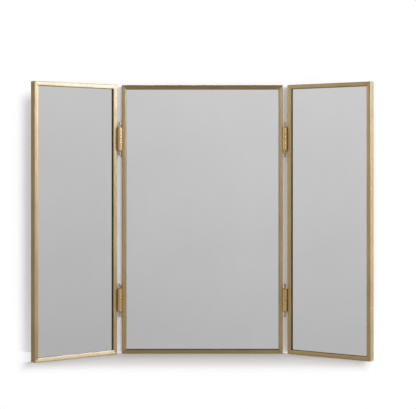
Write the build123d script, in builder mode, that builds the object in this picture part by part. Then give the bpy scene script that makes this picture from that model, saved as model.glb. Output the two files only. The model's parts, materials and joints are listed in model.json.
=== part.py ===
from build123d import *

import os
from dataclasses import dataclass
from math import cos, radians, sin, sqrt, tan

# Three-panel folding mirror in brass-finished section frames, with finial-tipped hinges.
# Millimetres, +Z up. The origin is the middle of the underside of the centre panel's frame.
# The front faces -Y, and both wings are turned forward about their hinges.

os.makedirs("parts", exist_ok=True)

# Panels
panel_height = 762.0
centre_width = 457.0
wing_width = 254.0
left_fold_deg = 35.0
right_fold_deg = 30.0

# Frame section
frame_face = 12.0
front_lip = 4.0
face_crown = 0.3
outer_wall = 2.5
thin_wall = 1.5
channel_width = 6.0
channel_height = 6.0
channel_mouth = 3.4
front_edge_radius = 2.0
rear_edge_radius = 0.4

# Glass, backing board and the room for the springs behind them
glass_thickness = 4.0
board_thickness = 3.0
spring_space = 3.0
packet_clearance = 0.5

# Corner keys and their set screws
key_leg = 34.0
key_thickness = 3.0
key_clearance = 0.2
set_screw_radius = 1.5
set_screw_inset = 12.0
set_screw_recess = 0.4
thread_clearance = 0.05

# Bowed spring clips
clip_length = 42.0
clip_width = 12.0
clip_thickness = 0.5
clip_clearance = 0.05
clips_per_stile = 3
clips_per_rail = 2

# Hinges
hinge_inset = 152.4
barrel_length = 63.5
barrel_diameter = 13.0
barrel_edge = 0.5
knuckle_clearance = 0.4
corner_angle_deg = 37.0
leaf_thickness = 2.5
leaf_rear_margin = 0.5
leaf_corner_radius = 3.0
pin_diameter = 6.0
pin_clearance = 0.05
pin_stub_diameter = 3.0
pin_stub_length = 6.0
washer_thickness = 0.8
washer_diameter = 11.0
running_gap = 0.3

# Finials on the pin ends
finial_collar_height = 2.6
finial_collar_edge = 0.6
finial_collar_flat = 0.3
finial_cove = 1.0
finial_neck_diameter = 5.2
finial_neck_length = 5.2
finial_ball_diameter = 7.4

# Countersunk hinge screws and the tapped strips that take them
screw_diameter = 3.0
screw_head_diameter = 5.8
countersink_deg = 90.0
screw_hole_clearance = 0.2
leaf_screws = 3
leaf_screw_margin = 9.0
strip_thickness = 4.0
strip_end_margin = 1.0
drive_slot_width = 0.8
drive_slot_depth = 0.8

# Keyhole hangers on the back of the centre panel
hanger_spacing = 304.8
hanger_width = 36.0
hanger_thickness = 2.0
hanger_edge_margin = 1.0
hanger_corner_radius = 4.0
hanger_screw_spacing = 22.0
hanger_head_radius = 3.2
hanger_head_height = 2.0
hanger_head_edge = 0.8
keyhole_entry_radius = 4.5
keyhole_slot_radius = 2.5
keyhole_travel = 9.0
keyhole_head_room = 6.0
keyhole_rim = 8.0

# Wall bumpers at the foot of the centre panel
bumper_radius = 4.5
bumper_thickness = 4.6
bumper_inset = 26.0
bumper_edge = 0.8

# Section positions, inward from the outer side and back from the front face
glass_rear = front_lip + glass_thickness
board_rear = glass_rear + board_thickness
channel_floor = board_rear + spring_space
channel_bottom = channel_floor + thin_wall
channel_middle = channel_bottom + channel_height / 2
channel_roof = channel_bottom + channel_height
frame_depth = channel_roof + thin_wall
channel_side = outer_wall + channel_width
channel_reach = channel_side + thin_wall
channel_centre = outer_wall + channel_width / 2
mouth_near = channel_centre - channel_mouth / 2
mouth_far = channel_centre + channel_mouth / 2

# Hinge axis: the barrel clears the front corners of both stiles by the same amount
barrel_radius = barrel_diameter / 2
corner_distance = barrel_radius + knuckle_clearance
half_gap = corner_distance * cos(radians(corner_angle_deg))
axis_proud = corner_distance * sin(radians(corner_angle_deg))
hinge_x = centre_width / 2 + half_gap
hinge_y = -frame_depth / 2 - axis_proud
knuckle_length = (barrel_length - washer_thickness) / 2
pin_radius = pin_diameter / 2
pin_bore_radius = pin_radius + pin_clearance
leaf_depth = frame_depth - leaf_rear_margin
leaf_screw_pitch = (barrel_length - 2 * leaf_screw_margin) / (leaf_screws - 1)
hinge_heights = {"upper": panel_height - hinge_inset, "lower": hinge_inset}

# Screws
screw_radius = screw_diameter / 2
screw_head_radius = screw_head_diameter / 2
screw_head_height = (screw_head_radius - screw_radius) / tan(radians(countersink_deg / 2))
screw_hole_radius = screw_radius + screw_hole_clearance
tapped_radius = screw_radius + thread_clearance
key_width = channel_width - 2 * key_clearance


@dataclass
class Panel:
    """One framed mirror: its name, its width, the frame it stands in and its hinged sides."""

    name: str
    width: float
    frame: Plane
    hinge_sides: tuple


def wing_frame(side, fold_deg):
    """The frame of a wing, turned forward about its hinge axis; side is -1 for left, 1 for right."""
    turned_axis = Location((side * hinge_x, hinge_y, 0), (0, 0, -side * fold_deg))
    axis_to_middle = Location((side * (half_gap + wing_width / 2), -hinge_y, 0))
    return Plane(turned_axis * axis_to_middle)


centre = Panel("centre", centre_width, Plane.XY, (-1, 1))
left_wing = Panel("left_wing", wing_width, wing_frame(-1, left_fold_deg), (1,))
right_wing = Panel("right_wing", wing_width, wing_frame(1, right_fold_deg), (-1,))
panels = (centre, left_wing, right_wing)
wings = {"left": (left_wing, -1), "right": (right_wing, 1)}


def plane_on(panel, place, x_dir, z_dir):
    """A work plane given in a panel's own frame."""
    return Plane(panel.frame * Plane(origin=place, x_dir=x_dir, z_dir=z_dir))


def elevation(panel, depth):
    """The upright plane at a depth behind the front face, centred on the panel and facing forward."""
    middle = (0, depth - frame_depth / 2, panel_height / 2)
    return plane_on(panel, middle, (1, 0, 0), (0, -1, 0))


def member_planes(panel):
    """The section plane at the start of each frame member, and the length that the member runs."""
    half = panel.width / 2
    front = -frame_depth / 2
    top = panel_height
    return {
        "left_stile": (plane_on(panel, (-half, front, 0), (1, 0, 0), (0, 0, 1)), panel_height),
        "right_stile": (plane_on(panel, (half, front, top), (-1, 0, 0), (0, 0, -1)), panel_height),
        "bottom_rail": (plane_on(panel, (half, front, 0), (0, 0, 1), (-1, 0, 0)), panel.width),
        "top_rail": (plane_on(panel, (-half, front, top), (0, 0, -1), (1, 0, 0)), panel.width),
    }


def hinge_screw_planes(panel, side, height, out):
    """Planes at one leaf's screws, facing out of the stile and out from its side face by a distance."""
    across = side * (panel.width / 2 + out)
    depth = channel_middle - frame_depth / 2
    lowest = height - leaf_screw_pitch * (leaf_screws - 1) / 2
    rises = [lowest + leaf_screw_pitch * index for index in range(leaf_screws)]
    return [plane_on(panel, (across, depth, rise), (0, 0, 1), (side, 0, 0)) for rise in rises]


def panel_screw_planes(panel, out):
    """The screw planes of every leaf that a panel carries."""
    planes = []
    for side in panel.hinge_sides:
        for height in hinge_heights.values():
            planes += hinge_screw_planes(panel, side, height, out)
    return planes


def export(piece, name):
    """Label a finished piece and write it under its own name."""
    piece.label = name
    export_step(piece, f"parts/{name}.step")


# Extruded frame section, inward along x and back along y, with a slightly crowned front face
with BuildSketch() as section:
    with BuildLine():
        ThreePointArc((0, face_crown), (frame_face / 2, 0), (frame_face, face_crown))
        Polyline(
            (frame_face, face_crown),
            (frame_face, front_lip),
            (outer_wall, front_lip),
            (outer_wall, channel_floor),
            (channel_reach, channel_floor),
            (channel_reach, frame_depth),
            (mouth_far, frame_depth),
            (mouth_far, channel_roof),
            (channel_side, channel_roof),
            (channel_side, channel_bottom),
            (outer_wall, channel_bottom),
            (outer_wall, channel_roof),
            (mouth_near, channel_roof),
            (mouth_near, frame_depth),
            (0, frame_depth),
            (0, face_crown),
        )
    make_face()
    fillet(section.vertices().group_by(Axis.Y)[0], radius=front_edge_radius)
    fillet(section.vertices().group_by(Axis.Y)[-1].sort_by(Axis.X)[0], radius=rear_edge_radius)

# Mitred frame members, with the hinge screw holes in the hinged stiles
for panel in panels:
    stile_of_side = {-1: "left_stile", 1: "right_stile"}
    hinged_stiles = {stile_of_side[side]: side for side in panel.hinge_sides}
    for member_name, (plane, length) in member_planes(panel).items():
        start_mitre = Plane(origin=plane.origin, z_dir=plane.z_dir - plane.x_dir)
        end_mitre = Plane(origin=plane.origin + plane.z_dir * length, z_dir=-plane.z_dir - plane.x_dir)
        with BuildPart() as member:
            with BuildSketch(plane):
                add(section.sketch)
            extrude(amount=length)
            split(bisect_by=start_mitre, keep=Keep.TOP)
            split(bisect_by=end_mitre, keep=Keep.TOP)
            if member_name in hinged_stiles:
                for height in hinge_heights.values():
                    with Locations(*hinge_screw_planes(panel, hinged_stiles[member_name], height, 0)):
                        Hole(screw_hole_radius, depth=channel_centre)
        export(member.part, f"{panel.name}_{member_name}")

# Mirror glass, pressed forward against the front lip
for panel in panels:
    with BuildPart() as glass:
        with BuildSketch(elevation(panel, glass_rear)):
            edge = outer_wall + packet_clearance
            Rectangle(panel.width - 2 * edge, panel_height - 2 * edge)
        extrude(amount=glass_thickness)
    export(glass.part, f"{panel.name}_mirror_glass")

# Backing boards behind the glass
for panel in panels:
    with BuildPart() as board:
        with BuildSketch(elevation(panel, board_rear)):
            edge = outer_wall + packet_clearance
            Rectangle(panel.width - 2 * edge, panel_height - 2 * edge)
        extrude(amount=board_thickness)
    export(board.part, f"{panel.name}_backing_board")


def key_corners(panel):
    """The outer corner of each corner key on the elevation plane, with its two signs."""
    inset = outer_wall + key_clearance
    across = panel.width / 2 - inset
    rise = panel_height / 2 - inset
    return [(right * across, up * rise, right, up) for right in (-1, 1) for up in (-1, 1)]


def set_screw_points(panel):
    """The place of each set screw on the elevation plane, one on each leg of a key."""
    points = []
    for across, rise, right, up in key_corners(panel):
        points.append((across - right * (key_leg - set_screw_inset), rise - up * key_width / 2))
        points.append((across - right * key_width / 2, rise - up * (key_leg - set_screw_inset)))
    return points


# Corner keys, flat in the rear channel and hard against its lips
for panel in panels:
    with BuildPart() as keys:
        with BuildSketch(elevation(panel, channel_roof)):
            for across, rise, right, up in key_corners(panel):
                x_align = Align.MAX if right > 0 else Align.MIN
                z_align = Align.MAX if up > 0 else Align.MIN
                with Locations((across, rise)):
                    Rectangle(key_leg, key_width, align=(x_align, z_align))
                    Rectangle(key_width, key_leg, align=(x_align, z_align))
            with Locations(*set_screw_points(panel)):
                Circle(set_screw_radius + thread_clearance, mode=Mode.SUBTRACT)
        extrude(amount=key_thickness)
    export(keys.part, f"{panel.name}_corner_keys")

# Set screws that jack the keys away from the channel floor
for panel in panels:
    with BuildPart() as set_screws:
        screw_rear = channel_roof - set_screw_recess
        with BuildSketch(elevation(panel, screw_rear)):
            with Locations(*set_screw_points(panel)):
                Circle(set_screw_radius)
        extrude(amount=screw_rear - channel_bottom)
    export(set_screws.part, f"{panel.name}_set_screws")

# Side view of one bowed spring clip, its ends on the board and its crown under the channel
clip_rise = spring_space - clip_thickness - 2 * clip_clearance
with BuildSketch() as clip_profile:
    with BuildLine():
        inner = ThreePointArc((-clip_length / 2, 0), (0, clip_rise), (clip_length / 2, 0))
        outer = ThreePointArc(
            (-clip_length / 2, clip_thickness),
            (0, clip_rise + clip_thickness),
            (clip_length / 2, clip_thickness),
        )
        Line(inner @ 0, outer @ 0)
        Line(inner @ 1, outer @ 1)
    make_face()


def clip_planes(panel):
    """Side-view planes of a panel's spring clips, evenly spaced along each frame member."""
    planes = []
    for member_name, (plane, length) in member_planes(panel).items():
        count = clips_per_stile if member_name.endswith("stile") else clips_per_rail
        inward = outer_wall + packet_clearance
        depth = board_rear + clip_clearance
        pitch = length / count
        for index in range(count):
            along = pitch / 2 + pitch * index
            origin = plane.origin + plane.x_dir * inward + plane.y_dir * depth + plane.z_dir * along
            planes.append(Plane(origin=origin, x_dir=-plane.z_dir, z_dir=plane.x_dir))
    return planes


# Spring clips between the backing board and the channel floor
for panel in panels:
    with BuildPart() as clips:
        with BuildSketch(*clip_planes(panel)):
            add(clip_profile.sketch)
        extrude(amount=clip_width)
    export(clips.part, f"{panel.name}_spring_clips")

# Tapped strips in the channel behind the hinge leaves, and behind the hangers on the centre panel
hanger_places = (-hanger_spacing / 2, hanger_spacing / 2)
hanger_screw_rise = panel_height / 2 - channel_centre
hanger_screw_points = [
    (place + offset, hanger_screw_rise)
    for place in hanger_places
    for offset in (-hanger_screw_spacing / 2, hanger_screw_spacing / 2)
]
for panel in panels:
    with BuildPart() as strips:
        strip_depth = channel_middle - frame_depth / 2
        for side in panel.hinge_sides:
            strip_side = side * (panel.width / 2 - outer_wall)
            for height in hinge_heights.values():
                wall_inside = (strip_side, strip_depth, height)
                with BuildSketch(plane_on(panel, wall_inside, (0, 0, 1), (-side, 0, 0))):
                    Rectangle(barrel_length - 2 * strip_end_margin, channel_height - 2 * key_clearance)
                extrude(amount=strip_thickness)
        with Locations(*panel_screw_planes(panel, 0)):
            Hole(tapped_radius, depth=channel_side)
        if panel is centre:
            with BuildSketch(elevation(panel, channel_roof)):
                with Locations(*[(place, hanger_screw_rise) for place in hanger_places]):
                    Rectangle(hanger_width, key_width)
                with Locations(*hanger_screw_points):
                    Circle(tapped_radius, mode=Mode.SUBTRACT)
            extrude(amount=key_thickness)
    export(strips.part, f"{panel.name}_tapped_strips")


def side_view(panel, side, height):
    """The upright plane of a stile's side face; x runs back from the hinge axis and y runs up."""
    return plane_on(panel, (side * panel.width / 2, hinge_y, height), (0, 1, 0), (1, 0, 0))


def plan_view(panel, side, height):
    """The level plane at a height, centred on the hinge axis at one side of a panel."""
    return plane_on(panel, (side * (panel.width / 2 + half_gap), hinge_y, height), (1, 0, 0), (0, 0, 1))


# A leaf stops short of the barrel beside the knuckle that belongs to the other leaf
barrel_cut_back = sqrt(corner_distance**2 - (half_gap - leaf_thickness) ** 2)


def hinge_leaf(panel, side, height, knuckle_side, name):
    """A leaf on the side face of a stile; its knuckle is the lower one (-1) or the upper one (1)."""
    knuckle_foot = washer_thickness / 2 if knuckle_side > 0 else -barrel_length / 2
    with BuildPart() as leaf:
        with BuildSketch(plan_view(panel, side, height + knuckle_foot)):
            Circle(barrel_radius)
        extrude(amount=knuckle_length)
        chamfer(leaf.edges().filter_by(GeomType.CIRCLE), length=barrel_edge)
        with BuildSketch(side_view(panel, side, height)) as outline:
            Rectangle(axis_proud + leaf_depth, barrel_length, align=(Align.MIN, Align.CENTER))
            fillet(outline.vertices().group_by(Axis.X)[-1], radius=leaf_corner_radius)
            with Locations((0, knuckle_side * washer_thickness / 2)):
                Rectangle(
                    barrel_cut_back,
                    knuckle_length + washer_thickness,
                    align=(Align.MIN, Align.MAX if knuckle_side > 0 else Align.MIN),
                    mode=Mode.SUBTRACT,
                )
        extrude(amount=side * leaf_thickness)
        with BuildSketch(plan_view(panel, side, height - barrel_length / 2)):
            Circle(pin_bore_radius)
        extrude(amount=barrel_length, mode=Mode.SUBTRACT)
        with Locations(*hinge_screw_planes(panel, side, height, leaf_thickness)):
            CounterSinkHole(
                screw_hole_radius,
                screw_head_radius + thread_clearance,
                depth=leaf_thickness,
                counter_sink_angle=countersink_deg,
            )
    export(leaf.part, name)


# Ball finial heights above the end of the barrel
finial_ball_radius = finial_ball_diameter / 2
finial_neck_radius = finial_neck_diameter / 2
finial_collar_radius = finial_neck_radius + finial_cove + finial_collar_flat + finial_collar_edge
finial_ball_middle = finial_collar_height + finial_neck_length + finial_ball_radius
pin_stub_radius = pin_stub_diameter / 2


def finial(end_plane, name):
    """A turned finial of collar, neck and ball, standing on a plane at the end of a barrel."""
    upright = Plane(origin=end_plane.origin, x_dir=end_plane.x_dir, z_dir=-end_plane.y_dir)
    with BuildPart() as turned:
        with BuildSketch(upright) as profile:
            Rectangle(finial_collar_radius, finial_collar_height, align=(Align.MIN, Align.MIN))
            chamfer(profile.vertices().group_by(Axis.X)[-1], length=finial_collar_edge)
            Rectangle(finial_neck_radius, finial_ball_middle, align=(Align.MIN, Align.MIN))
            neck_foot = (finial_neck_radius, finial_collar_height)
            chamfer(profile.vertices().sort_by_distance(neck_foot)[0], length=finial_cove)
            with Locations((0, finial_ball_middle)):
                Circle(finial_ball_radius)
                Rectangle(
                    finial_ball_diameter,
                    2 * finial_ball_diameter,
                    align=(Align.MAX, Align.CENTER),
                    mode=Mode.SUBTRACT,
                )
        revolve(axis=Axis(end_plane.origin, end_plane.z_dir))
        with BuildSketch(end_plane):
            Circle(pin_stub_radius + thread_clearance)
        extrude(amount=pin_stub_length + thread_clearance, mode=Mode.SUBTRACT)
    export(turned.part, name)


def hinge_pin(side, height, name):
    """A pin through both knuckles, with a threaded stub at each end for the finials."""
    foot = plan_view(centre, side, height - barrel_length / 2)
    head = plan_view(centre, side, height + barrel_length / 2 + running_gap)
    with BuildPart() as pin:
        with BuildSketch(foot):
            Circle(pin_radius)
        extrude(amount=barrel_length + running_gap)
        with BuildSketch(head):
            Circle(pin_stub_radius)
        extrude(amount=pin_stub_length)
        with BuildSketch(foot):
            Circle(pin_stub_radius)
        extrude(amount=-pin_stub_length)
    export(pin.part, name)


# Hinges: two to each wing, the lower knuckle on the centre panel and the upper one on the wing
for side_name, (wing, side) in wings.items():
    for level, height in hinge_heights.items():
        hinge = f"{side_name}_{level}_hinge"
        barrel_head = plan_view(centre, side, height + barrel_length / 2 + running_gap)
        barrel_foot = plan_view(centre, side, height - barrel_length / 2)
        hinge_leaf(centre, side, height, -1, f"{hinge}_centre_leaf")
        hinge_leaf(wing, -side, height, 1, f"{hinge}_wing_leaf")
        hinge_pin(side, height, f"{hinge}_pin")
        finial(barrel_head, f"{hinge}_upper_finial")
        finial(Plane(barrel_foot.origin, barrel_foot.x_dir, -barrel_foot.z_dir), f"{hinge}_lower_finial")

# Thrust washers between the knuckles
with BuildPart() as washers:
    washer_planes = [
        plan_view(centre, side, height - washer_thickness / 2)
        for side in centre.hinge_sides
        for height in hinge_heights.values()
    ]
    with BuildSketch(*washer_planes):
        Circle(washer_diameter / 2)
        Circle(pin_bore_radius, mode=Mode.SUBTRACT)
    extrude(amount=washer_thickness)
export(washers.part, "hinge_washers")

# Countersunk screws that hold the hinge leaves
for panel in panels:
    with BuildPart() as hinge_screws:
        at_head = (Align.CENTER, Align.CENTER, Align.MAX)
        with Locations(*panel_screw_planes(panel, leaf_thickness)):
            Cylinder(screw_radius, leaf_thickness + outer_wall + strip_thickness, align=at_head)
            Cone(screw_radius, screw_head_radius, screw_head_height, align=at_head)
            slot = (screw_head_diameter, drive_slot_width, drive_slot_depth)
            Box(*slot, align=at_head, mode=Mode.SUBTRACT)
    export(hinge_screws.part, f"{panel.name}_hinge_screws")

# Keyhole hanger plates on the back of the top rail, the keyhole over the hollow behind the board
panel_top = panel_height / 2
hanger_rear = frame_depth + hanger_thickness
slot_rise = panel_top - frame_face - keyhole_head_room
entry_rise = slot_rise - keyhole_travel
hanger_height = panel_top - hanger_edge_margin - entry_rise + keyhole_rim
for side_name, place in zip(("left", "right"), hanger_places):
    with BuildPart() as hanger:
        with BuildSketch(elevation(centre, hanger_rear)) as outline:
            with Locations((place, panel_top - hanger_edge_margin)):
                Rectangle(hanger_width, hanger_height, align=(Align.CENTER, Align.MAX))
            fillet(outline.vertices(), radius=hanger_corner_radius)
            with Locations((place, entry_rise)):
                Circle(keyhole_entry_radius, mode=Mode.SUBTRACT)
                Rectangle(
                    2 * keyhole_slot_radius,
                    keyhole_travel,
                    align=(Align.CENTER, Align.MIN),
                    mode=Mode.SUBTRACT,
                )
            with Locations((place, slot_rise)):
                Circle(keyhole_slot_radius, mode=Mode.SUBTRACT)
            with Locations(*hanger_screw_points):
                Circle(screw_hole_radius, mode=Mode.SUBTRACT)
        extrude(amount=hanger_thickness)
    export(hanger.part, f"{side_name}_hanger_plate")

# Pan-head screws that clamp the hangers to the tapped strips
with BuildPart() as hanger_screws:
    with BuildSketch(elevation(centre, hanger_rear)):
        with Locations(*hanger_screw_points):
            Circle(hanger_head_radius)
    extrude(amount=-hanger_head_height)
    chamfer(hanger_screws.edges().group_by(Axis.Y)[-1], length=hanger_head_edge)
    with BuildSketch(elevation(centre, hanger_rear)):
        with Locations(*hanger_screw_points):
            Circle(screw_radius)
    extrude(amount=hanger_thickness + thin_wall + key_thickness)
export(hanger_screws.part, "hanger_screws")

# Rubber bumpers that keep the foot of the centre panel off the wall
for side_name, sign in (("left", -1), ("right", 1)):
    with BuildPart() as bumper:
        with BuildSketch(elevation(centre, frame_depth)):
            with Locations((sign * (centre_width / 2 - bumper_inset), channel_centre - panel_top)):
                Circle(bumper_radius)
        extrude(amount=-bumper_thickness)
        chamfer(bumper.edges().group_by(Axis.Y)[-1], length=bumper_edge)
    export(bumper.part, f"{side_name}_wall_bumper")
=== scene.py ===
import json
from math import cos, radians, sin

import bmesh
import bpy
from mathutils import Matrix, Vector

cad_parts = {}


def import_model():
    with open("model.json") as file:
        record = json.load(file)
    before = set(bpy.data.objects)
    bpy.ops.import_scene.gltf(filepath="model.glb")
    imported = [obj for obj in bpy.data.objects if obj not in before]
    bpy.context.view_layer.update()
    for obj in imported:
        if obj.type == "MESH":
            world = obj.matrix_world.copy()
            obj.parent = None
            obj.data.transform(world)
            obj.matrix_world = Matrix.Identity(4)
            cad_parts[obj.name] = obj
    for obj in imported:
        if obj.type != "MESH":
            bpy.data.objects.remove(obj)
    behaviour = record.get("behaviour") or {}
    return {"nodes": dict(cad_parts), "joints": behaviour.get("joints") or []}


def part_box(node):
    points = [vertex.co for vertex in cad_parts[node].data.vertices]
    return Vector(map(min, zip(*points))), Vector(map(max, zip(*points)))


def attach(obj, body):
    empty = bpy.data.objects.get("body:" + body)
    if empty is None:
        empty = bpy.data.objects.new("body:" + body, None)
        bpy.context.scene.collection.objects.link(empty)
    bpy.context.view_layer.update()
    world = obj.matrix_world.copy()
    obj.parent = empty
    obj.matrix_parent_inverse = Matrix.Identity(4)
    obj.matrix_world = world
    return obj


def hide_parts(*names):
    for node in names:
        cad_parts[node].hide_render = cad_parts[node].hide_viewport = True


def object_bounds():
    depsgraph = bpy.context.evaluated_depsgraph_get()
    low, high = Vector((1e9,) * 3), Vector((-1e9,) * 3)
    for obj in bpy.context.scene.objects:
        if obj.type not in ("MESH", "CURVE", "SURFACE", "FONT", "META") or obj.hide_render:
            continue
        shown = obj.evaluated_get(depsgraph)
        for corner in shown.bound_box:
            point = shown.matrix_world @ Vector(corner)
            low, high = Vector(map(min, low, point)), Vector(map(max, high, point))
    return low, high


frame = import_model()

cad_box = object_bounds()

# Camera, fitted to the photograph: level, a little right of the centre panel's middle, framed by shift
picture_width = 416
sensor_width = 36.0
focal_pixels = 1097.0
camera_place = (0.090, -3.1242, 0.5176)
picture_shift = (-0.0626, -0.0799)

# Panels, and how far each is turned at rest
panel_names = ("centre", "left_wing", "right_wing")
panel_turns = {"centre": 0.0}
for joint in frame["joints"]:
    panel_turns[joint["child"]] = radians(-joint["range_deg"][0] * joint["axis"][2])

# Colours, linear
white = (1.0, 1.0, 1.0)
brass_dark = (0.47, 0.327, 0.141)
brass_light = (0.62, 0.45, 0.211)
hinge_dark = (0.62, 0.43, 0.18)
hinge_light = (0.76, 0.545, 0.28)
# Dark colour of the mitre joint lines, also used as painted shade on the inner faces of the lip
joint_and_shade_colour = (0.09, 0.065, 0.03)
mirror_dark = (0.866, 0.869, 0.868)
mirror_light = (0.904, 0.907, 0.906)
board_dark = (0.115, 0.062, 0.03)
board_light = (0.235, 0.14, 0.075)
steel_dark = (0.42, 0.43, 0.44)
steel_light = (0.66, 0.665, 0.66)
rubber_dark = (0.012, 0.012, 0.012)
rubber_light = (0.035, 0.034, 0.033)

# Where a texture reaches its dark and its light colour
tone_stops = (0.3, 0.7)
patch_stops = (0.1, 0.9)

# Fineness of the noise in most textures, and of the noise drawn out into streaks
noise_detail = 3.0
streak_detail = 2.0
noise_roughness = 0.55

# Brushed frame brass: grain in turns per metre across and along each member, and slow changes of tone
grain_across = 2400.0
grain_along = 14.0
tone_scale = 9.0
grain_share = 0.45
brushed_roughness = (0.30, 0.40)
brushed_stretch = 0.75
brushed_depth = 0.00002
mitre_line = 0.00035
upward = Vector((0.0, 0.0, 1.0))

# Painted shade on the inner faces of the lip, standing in for the shadow in the rebate: how squarely they
# face the middle of the panel, and how dark that painted shade is
inner_facing = (0.7, 0.95)
painted_inner_shade = 0.74

# Turned hinge brass, in turns per metre
turning_lines = (60.0, 60.0, 3200.0)
turned_tone_scale = 140.0
turned_roughness = (0.12, 0.22)
turned_depth = 0.00001

# Mirror glass
glass_index = 1.52
ground_edge = 0.0003
ground_steps = 2
haze_scale = 5.0
haze_detail = 4.0
haze_roughness = (0.0, 0.006)
# Folded wings face each other, so light is followed through this many reflections
mirror_bounces = 24

# Hardboard, in turns per metre
fibre_scale = (900.0, 900.0, 420.0)
fibre_detail = 5.0
fibre_roughness = 0.65
fibre_share = 0.6
cloud_scale = 16.0
board_roughness = (0.5, 0.75)
fibre_depth = 0.0002
fibre_strength = 0.6

# Zinc-plated steel and rubber, in turns per metre
zinc_scale = 420.0
scuff_scale = 900.0
steel_roughness = (0.28, 0.46)
scuff_depth = 0.00002
skin_scale = 1600.0
rubber_roughness = (0.6, 0.85)
skin_depth = 0.00005

# Grey studio in front of the mirrors, as (degrees above level, level)
front_levels = (
    (-90, 0.34),
    (-35, 0.34),
    (-8.6, 0.515),
    (-2.5, 0.585),
    (4.5, 0.655),
    (10, 0.20),
    (18, 0.10),
    (90, 0.10),
)
# Its change from side to side, as (degrees right of the camera, share)
side_shares = (
    (-90, 1.03),
    (-50, 1.03),
    (-45, 0.85),
    (-13, 0.85),
    (-8, 0.97),
    (1.5, 1.035),
    (50, 0.955),
    (90, 0.955),
)
# Beyond these degrees to either side of the camera the studio falls to a dim level
front_reach = (65.0, 69.0)
side_level = 0.28

# Round soft lights in the studio, as (degrees right of the camera, degrees up, half width, level, colour)
daylight = (0.92, 1.10, 1.78)
pale_daylight = (0.96, 1.06, 1.30)
soft_lights = (
    (79.5, 15, 17, 7.1, daylight),
    (79.5, 0, 11, 2.0, daylight),
    (61, 22, 15, 5.5, daylight),
    (61, -26, 14, 1.5, daylight),
    (24, 10, 8, 7.0, daylight),
    (-56, 24, 14, 1.1, white),
    (-71, 12, 13, 2.2, pale_daylight),
    (-71, -6, 11, 0.5, pale_daylight),
    (122, 4, 32, 0.84, pale_daylight),
    (-122, 0, 28, 0.1, white),
)
# Share of a soft light's half width that has its full level
soft_core = 0.45

# Level that matte surfaces see all round, and the light that mirrors and metal throw back onto them
room_level = 0.55
thrown_light = (0.32, 0.26, 0.20)

# Suns for matte surfaces and the shadows, as (degrees right of the camera, degrees up, width, strength)
suns = {
    "key": (20, 10, 15, 1.45),
    "fill": (-3.5, 10, 5, 0.82),
}
# Lamp above the back
top_place = (0.0, 0.33, 2.9)
top_aim = (0.0, -0.1, 0.0)
top_size = (0.5, 0.65)
top_power = 40.0

# Stage
stage_colour = (0.9, 0.9, 0.9)
stage_reach = 14.0
wall_gap = 0.0004
# Its fade to plain white for the camera: (start, end) in metres below the object's box, then above it
floor_fade = (((0.03, 0.018, 1.0), (0.07, 0.18, 2.0)), ((-0.01, 0.018, 1.0), (0.03, 0.18, 2.0)))
wall_fade = (((0.035, 1.0, 1.0), (0.085, 2.0, 2.0)), ((0.004, 1.0, 0.003), (0.035, 2.0, 0.03)))
# How much sooner the fade starts towards the front, per metre
shadow_taper = (0.2, 0.0, 0.0)


# Node helpers
def add(tree, kind, inputs=None, **settings):
    node = tree.nodes.new("ShaderNode" + kind)
    for name, value in settings.items():
        setattr(node, name, value)
    for key, value in (inputs or {}).items():
        socket = node.inputs[key]
        if isinstance(value, bpy.types.NodeSocket):
            tree.links.new(value, socket)
        elif socket.type == "RGBA":
            socket.default_value = (*value, 1.0)
        else:
            socket.default_value = value
    return node


def arithmetic(tree, operation, first, second=0.0):
    return add(tree, "Math", {0: first, 1: second}, operation=operation).outputs[0]


def vectors(tree, operation, first, second):
    return add(tree, "VectorMath", {0: first, 1: second}, operation=operation).outputs[0]


def dot(tree, first, second):
    return add(tree, "VectorMath", {0: first, 1: second}, operation="DOT_PRODUCT").outputs["Value"]


def split(tree, vector):
    return add(tree, "SeparateXYZ", {0: vector}).outputs


def ramp(tree, factor, stops):
    node = add(tree, "ValToRGB", {"Fac": factor})
    elements = node.color_ramp.elements
    while len(elements) < len(stops):
        elements.new(1.0)
    for element, (place, colour) in zip(elements, stops):
        element.position = place
        element.color = (*colour, 1.0)
    return node.outputs["Color"]


def two_tone(tree, factor, dark, light, places=tone_stops):
    return ramp(tree, factor, tuple(zip(places, (dark, light))))


def spread(tree, value, limits):
    low, high = limits
    return add(tree, "MapRange", {"Value": value, "To Min": low, "To Max": high}).outputs["Result"]


def weigh(tree, first, second, share):
    first_part = arithmetic(tree, "MULTIPLY", first, share)
    second_part = arithmetic(tree, "MULTIPLY", second, 1.0 - share)
    return arithmetic(tree, "ADD", first_part, second_part)


def noise(tree, place, scale, detail=noise_detail, roughness=noise_roughness):
    inputs = {"Vector": place, "Scale": scale, "Detail": detail, "Roughness": roughness}
    return add(tree, "TexNoise", inputs).outputs["Fac"]


def streaks(tree, place, scales, detail=streak_detail, roughness=noise_roughness):
    return noise(tree, vectors(tree, "MULTIPLY", place, scales), 1.0, detail, roughness)


def bump(tree, height, distance, strength=1.0):
    return add(tree, "Bump", {"Height": height, "Distance": distance, "Strength": strength}).outputs[0]


def principled(tree, inputs):
    return add(tree, "BsdfPrincipled", inputs).outputs["BSDF"]


def material(name, paint):
    made = bpy.data.materials.new(name)
    made.use_nodes = True
    tree = made.node_tree
    tree.nodes.clear()
    output = add(tree, "OutputMaterial")
    place = add(tree, "TexCoord").outputs["Object"]
    tree.links.new(paint(tree, place), output.inputs["Surface"])
    return made


def put_on(thing, finish):
    thing.data.materials.clear()
    thing.data.materials.append(finish)


# Panel frames: the middle of each panel on the ground and its turn, from its glass
def panel_frame(panel):
    low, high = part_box(f"{panel}_mirror_glass")
    middle = (low + high) / 2
    return Vector((middle.x, middle.y, 0.0)), panel_turns[panel]


def panel_matrix(panel):
    middle, turn = panel_frame(panel)
    return Matrix.Translation(middle) @ Matrix.Rotation(turn, 4, "Z")


def node_reach(panel, node):
    to_panel = panel_matrix(panel).inverted()
    points = [to_panel @ vertex.co for vertex in frame["nodes"][node].data.vertices]
    low = Vector([min(point[axis] for point in points) for axis in range(3)])
    high = Vector([max(point[axis] for point in points) for axis in range(3)])
    return low, high


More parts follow.
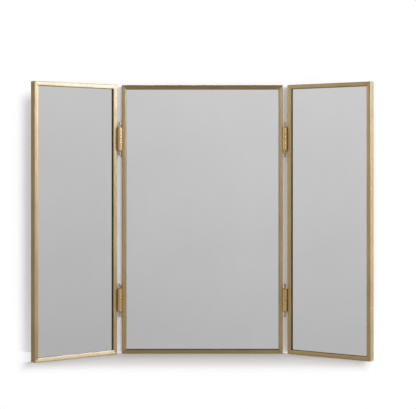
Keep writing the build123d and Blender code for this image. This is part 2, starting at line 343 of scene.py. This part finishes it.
# The way across the brushed lines on any face, so that highlights spread across the grain
def across_grain(tree, grain):
    turned = add(tree, "VectorTransform", {0: grain}, convert_from="OBJECT", convert_to="WORLD")
    facing = add(tree, "NewGeometry").outputs["Normal"]
    return vectors(tree, "CROSS_PRODUCT", facing, turned.outputs[0])


# One on faces turned towards the middle of the panel, which get painted shade
def inner_face(tree, parts, way, upright, height):
    facing = dot(tree, add(tree, "TexCoord").outputs["Normal"], way)
    middle = 0.0 if upright else height / 2
    middle_side = arithmetic(tree, "SUBTRACT", middle, parts[0 if upright else 2])
    inward = arithmetic(tree, "MULTIPLY", facing, arithmetic(tree, "SIGN", middle_side))
    start, end = inner_facing
    return add(tree, "MapRange", {"Value": inward, "From Min": start, "From Max": end}).outputs["Result"]


# One on the fine line where two members meet at a mitre
def mitre(tree, parts, half_width, height):
    from_side = arithmetic(tree, "SUBTRACT", half_width, arithmetic(tree, "ABSOLUTE", parts[0]))
    from_end = arithmetic(tree, "MINIMUM", parts[2], arithmetic(tree, "SUBTRACT", height, parts[2]))
    off_mitre = arithmetic(tree, "ABSOLUTE", arithmetic(tree, "SUBTRACT", from_side, from_end))
    return arithmetic(tree, "LESS_THAN", off_mitre, mitre_line)


# Brushed frame brass: fine lines along each member, slow changes of tone, painted shade on inner faces
# and dark mitre lines
def frame_brass(panel, upright):
    middle, turn = panel_frame(panel)
    top = node_reach(panel, f"{panel}_top_rail")[1]
    crosswise = Vector((cos(turn), sin(turn), 0.0))
    if upright:
        grain, inward = upward, crosswise
        grain_scales = (grain_across, grain_across, grain_along)
    else:
        grain, inward = crosswise, upward
        grain_scales = (grain_along, grain_across, grain_across)

    def paint(tree, place):
        inputs = {"Vector": place, "Location": middle, "Rotation": (0.0, 0.0, turn)}
        local = add(tree, "Mapping", inputs, vector_type="TEXTURE").outputs[0]
        parts = split(tree, local)
        lines = streaks(tree, local, grain_scales)
        mixed = weigh(tree, lines, noise(tree, local, tone_scale), grain_share)
        inner = inner_face(tree, parts, inward, upright, top.z)
        # Painted shade: faces turned towards the middle of the panel are darkened as if in the shadow of
        # the lip
        skin_and_painted_shade = arithmetic(tree, "MULTIPLY", inner, painted_inner_shade)
        dark = arithmetic(tree, "MAXIMUM", mitre(tree, parts, top.x, top.z), skin_and_painted_shade)
        brass = two_tone(tree, mixed, brass_dark, brass_light)
        colour = add(tree, "MixRGB", {"Fac": dark, "Color1": brass, "Color2": joint_and_shade_colour})
        return principled(tree, {
            "Base Color": colour.outputs[0],
            "Metallic": 1.0,
            "Roughness": spread(tree, lines, brushed_roughness),
            "Anisotropic": brushed_stretch,
            "Tangent": across_grain(tree, grain),
            "Normal": bump(tree, lines, brushed_depth),
        })

    return material(f"brushed_brass_{panel}_{'stile' if upright else 'rail'}", paint)


# Hinge brass: turned and polished, with faint turning lines
def hinge_brass():
    def paint(tree, place):
        rings = streaks(tree, place, turning_lines)
        return principled(tree, {
            "Base Color": two_tone(tree, noise(tree, place, turned_tone_scale), hinge_dark, hinge_light),
            "Metallic": 1.0,
            "Roughness": spread(tree, rings, turned_roughness),
            "Normal": bump(tree, rings, turned_depth),
        })

    return material("turned_brass", paint)


# Hardboard: pressed brown fibre
def hardboard():
    def paint(tree, place):
        fibre = streaks(tree, place, fibre_scale, fibre_detail, fibre_roughness)
        mixed = weigh(tree, fibre, noise(tree, place, cloud_scale), fibre_share)
        return principled(tree, {
            "Base Color": two_tone(tree, mixed, board_dark, board_light),
            "Roughness": spread(tree, fibre, board_roughness),
            "Normal": bump(tree, fibre, fibre_depth, fibre_strength),
        })

    return material("pressed_fibre", paint)


# Zinc-plated steel: small bright patches
def steel():
    def paint(tree, place):
        patches = add(tree, "TexVoronoi", {"Vector": place, "Scale": zinc_scale}).outputs["Color"]
        shade = add(tree, "SeparateColor", {0: patches}).outputs[0]
        scuff = noise(tree, place, scuff_scale)
        return principled(tree, {
            "Base Color": two_tone(tree, shade, steel_dark, steel_light, patch_stops),
            "Metallic": 1.0,
            "Roughness": spread(tree, scuff, steel_roughness),
            "Normal": bump(tree, scuff, scuff_depth),
        })

    return material("zinc_steel", paint)


# Moulded rubber: near black, with a dusty fine skin
def rubber():
    def paint(tree, place):
        skin_and_painted_shade = noise(tree, place, skin_scale)
        return principled(tree, {
            "Base Color": two_tone(tree, skin_and_painted_shade, rubber_dark, rubber_light),
            "Roughness": spread(tree, skin_and_painted_shade, rubber_roughness),
            "Normal": bump(tree, skin_and_painted_shade, skin_depth),
        })

    return material("black_rubber", paint)


# Mirror glass: silvered, with a faint haze
def mirror():
    def paint(tree, place):
        haze = noise(tree, place, haze_scale, haze_detail)
        return principled(tree, {
            "Base Color": two_tone(tree, haze, mirror_dark, mirror_light),
            "Metallic": 1.0,
            "Roughness": spread(tree, haze, haze_roughness),
        })

    return material("silvered_glass", paint)


# Mirror plate: the silver lies behind clear glass, so it is set back by the depth at which it appears
def mirror_plate(panel, finish):
    low, high = node_reach(panel, f"{panel}_mirror_glass")
    low.y += (high.y - low.y) / glass_index
    mesh = bpy.data.meshes.new(f"{panel}_mirror_plate")
    shape = bmesh.new()
    bmesh.ops.create_cube(shape, size=1.0)
    bmesh.ops.scale(shape, vec=high - low, verts=shape.verts)
    bmesh.ops.translate(shape, vec=(low + high) / 2, verts=shape.verts)
    edges = shape.edges[:]
    bmesh.ops.bevel(shape, geom=edges, offset=ground_edge, segments=ground_steps, affect="EDGES")
    shape.to_mesh(mesh)
    shape.free()
    plate = bpy.data.objects.new(mesh.name, mesh)
    bpy.context.scene.collection.objects.link(plate)
    plate.matrix_world = panel_matrix(panel)
    put_on(plate, finish)
    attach(plate, panel)
    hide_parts(f"{panel}_mirror_glass")


def mirrors():
    finish = mirror()
    for panel in panel_names:
        put_on(frame["nodes"][f"{panel}_mirror_glass"], finish)
        mirror_plate(panel, finish)


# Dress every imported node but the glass
def dress():
    members = {}
    for panel in panel_names:
        for upright in (True, False):
            members[panel, upright] = frame_brass(panel, upright)
    board_finish = hardboard()
    bumper_finish = rubber()
    hinge_finish = hinge_brass()
    steel_finish = steel()
    for name, node in frame["nodes"].items():
        if name.endswith("mirror_glass"):
            continue
        if name.endswith(("stile", "rail")):
            panel = next(panel for panel in panel_names if name.startswith(panel))
            finish = members[panel, name.endswith("stile")]
        elif name.endswith("backing_board"):
            finish = board_finish
        elif name.endswith("wall_bumper"):
            finish = bumper_finish
        elif "hinge" in name:
            finish = hinge_finish
        else:
            finish = steel_finish
        put_on(node, finish)


# Stage: a pale floor and, for looks from the front, the wall that the mirror hangs on
def fade_between(tree, value, start, end):
    node = add(tree, "MapRange", data_type="FLOAT_VECTOR", interpolation_type="SMOOTHSTEP")
    tree.links.new(value, node.inputs["Vector"])
    # The node's vector inputs come in the order value, start, end
    _, from_low, from_high, *_ = [socket for socket in node.inputs if socket.type == "VECTOR"]
    from_low.default_value = start
    from_high.default_value = end
    return node.outputs["Vector"]


def outside_share(tree, place, fade):
    low, high = cad_box
    below = vectors(tree, "SUBTRACT", low, place)
    above = vectors(tree, "SUBTRACT", place, high)
    taper = vectors(tree, "MULTIPLY", split(tree, place)[1], shadow_taper)
    shares = []
    for beyond, (start, end) in zip((below, above), fade):
        tapered = vectors(tree, "SUBTRACT", beyond, taper)
        shares.append(fade_between(tree, tapered, start, end))
    parts = split(tree, vectors(tree, "MAXIMUM", *shares))
    return arithmetic(tree, "MAXIMUM", parts[0], arithmetic(tree, "MAXIMUM", parts[1], parts[2]))


def stage_finish(name, fade, one_sided):
    def paint(tree, place):
        matte = add(tree, "BsdfDiffuse", {"Color": stage_colour}).outputs[0]
        plain = add(tree, "Emission", {"Color": white}).outputs[0]
        seen = add(tree, "LightPath").outputs["Is Camera Ray"]
        far = arithmetic(tree, "MULTIPLY", seen, outside_share(tree, place, fade))
        front = add(tree, "MixShader", {0: far, 1: matte, 2: plain}).outputs[0]
        if not one_sided:
            return front
        behind = add(tree, "NewGeometry").outputs["Backfacing"]
        clear = add(tree, "BsdfTransparent").outputs[0]
        return add(tree, "MixShader", {0: behind, 1: front, 2: clear}).outputs[0]

    return material(name, paint)


def stage_sheet(name, corners, finish):
    mesh = bpy.data.meshes.new(name)
    mesh.from_pydata(corners, [], [(0, 1, 2, 3)])
    made = bpy.data.objects.new(name, mesh)
    bpy.context.scene.collection.objects.link(made)
    put_on(made, finish)
    made.visible_glossy = False
    made.visible_diffuse = False
    return made


def stage():
    reach = stage_reach
    corners = ((-reach, -reach, 0), (reach, -reach, 0), (reach, reach, 0), (-reach, reach, 0))
    stage_sheet("floor", corners, stage_finish("floor_white", floor_fade, False))
    back = cad_box[1].y + wall_gap
    corners = ((-reach, back, 0), (reach, back, 0), (reach, back, reach), (-reach, back, reach))
    wall = stage_sheet("wall", corners, stage_finish("wall_white", wall_fade, True))
    wall.visible_transmission = False
    wall.visible_shadow = False


# World: white to the camera, the studio to mirrors and metal, one plain level to everything else
def heading(right, above):
    level = cos(radians(above))
    return Vector((sin(radians(right)) * level, -cos(radians(right)) * level, sin(radians(above))))


def along_axis(tree, part, levels):
    place = add(tree, "MapRange", {"Value": part, "From Min": -1.0}).outputs["Result"]
    return ramp(tree, place, [((sin(radians(angle)) + 1) / 2, (level,) * 3) for angle, level in levels])


def soft_light(tree, direction, right, above, half_width, level, colour):
    inputs = {
        "Value": dot(tree, direction, heading(right, above)),
        "From Min": cos(radians(half_width)),
        "From Max": cos(radians(half_width * soft_core)),
        "To Max": level,
    }
    glow = add(tree, "MapRange", inputs, interpolation_type="SMOOTHSTEP").outputs["Result"]
    return add(tree, "VectorMath", {0: colour, "Scale": glow}, operation="SCALE").outputs[0]


def studio_levels(tree):
    direction = add(tree, "TexCoord").outputs["Generated"]
    parts = split(tree, direction)
    by_height = along_axis(tree, parts[2], front_levels)
    by_side = along_axis(tree, parts[0], side_shares)
    front = vectors(tree, "MULTIPLY", by_height, by_side)
    start, end = [-cos(radians(angle)) for angle in front_reach]
    inputs = {"Value": parts[1], "From Min": start, "From Max": end}
    to_side = add(tree, "MapRange", inputs).outputs["Result"]
    inputs = {"Fac": to_side, "Color1": front, "Color2": (side_level,) * 3}
    total = add(tree, "MixRGB", inputs).outputs[0]
    for light in soft_lights:
        total = vectors(tree, "ADD", total, soft_light(tree, direction, *light))
    return total


def world():
    made = bpy.data.worlds.new("studio")
    bpy.context.scene.world = made
    made.use_nodes = True
    tree = made.node_tree
    tree.nodes.clear()
    rays = add(tree, "LightPath").outputs
    mirrored = arithmetic(tree, "MAXIMUM", rays["Is Glossy Ray"], rays["Is Transmission Ray"])
    thrown = arithmetic(tree, "MINIMUM", rays["Diffuse Depth"], 1.0)
    inputs = {"Fac": thrown, "Color1": studio_levels(tree), "Color2": thrown_light}
    studio = add(tree, "Background", {"Color": add(tree, "MixRGB", inputs).outputs[0]}).outputs[0]
    room = add(tree, "Background", {"Color": (room_level,) * 3}).outputs[0]
    seen = add(tree, "Background", {"Color": white}).outputs[0]
    light = add(tree, "MixShader", {0: mirrored, 1: room, 2: studio}).outputs[0]
    both = add(tree, "MixShader", {0: rays["Is Camera Ray"], 1: light, 2: seen}).outputs[0]
    output = add(tree, "OutputWorld")
    tree.links.new(both, output.inputs["Surface"])


# Lamps: a low sun from the right, one in front and a lamp above the back
def hang(name, data, place, way):
    made = bpy.data.objects.new(name, data)
    made.location = place
    made.rotation_mode = "QUATERNION"
    made.rotation_quaternion = way.to_track_quat("-Z", "Y")
    made.visible_camera = False
    made.visible_glossy = False
    bpy.context.scene.collection.objects.link(made)


def soft_box(name, place, aim, size, power):
    data = bpy.data.lights.new(name, "AREA")
    data.shape = "RECTANGLE"
    data.size, data.size_y = size
    data.energy = power
    hang(name, data, place, Vector(aim) - Vector(place))


def sun(name, right, above, width, strength):
    data = bpy.data.lights.new(name, "SUN")
    data.angle = radians(width)
    data.energy = strength
    toward = heading(right, above)
    hang(name, data, toward, -toward)


def lamps():
    for name, settings in suns.items():
        sun(name, *settings)
    soft_box("top", top_place, top_aim, top_size, top_power)


def camera():
    data = bpy.data.cameras.new("camera")
    data.sensor_width = sensor_width
    data.lens = focal_pixels / picture_width * sensor_width
    data.shift_x, data.shift_y = picture_shift
    made = bpy.data.objects.new("camera", data)
    made.location = camera_place
    made.rotation_euler = (radians(90), 0.0, 0.0)
    bpy.context.scene.collection.objects.link(made)
    bpy.context.scene.camera = made


dress()
mirrors()
stage()
world()
lamps()
camera()
scene = bpy.context.scene
scene.view_settings.view_transform = "Standard"
scene.cycles.glossy_bounces = mirror_bounces
scene.cycles.max_bounces = mirror_bounces
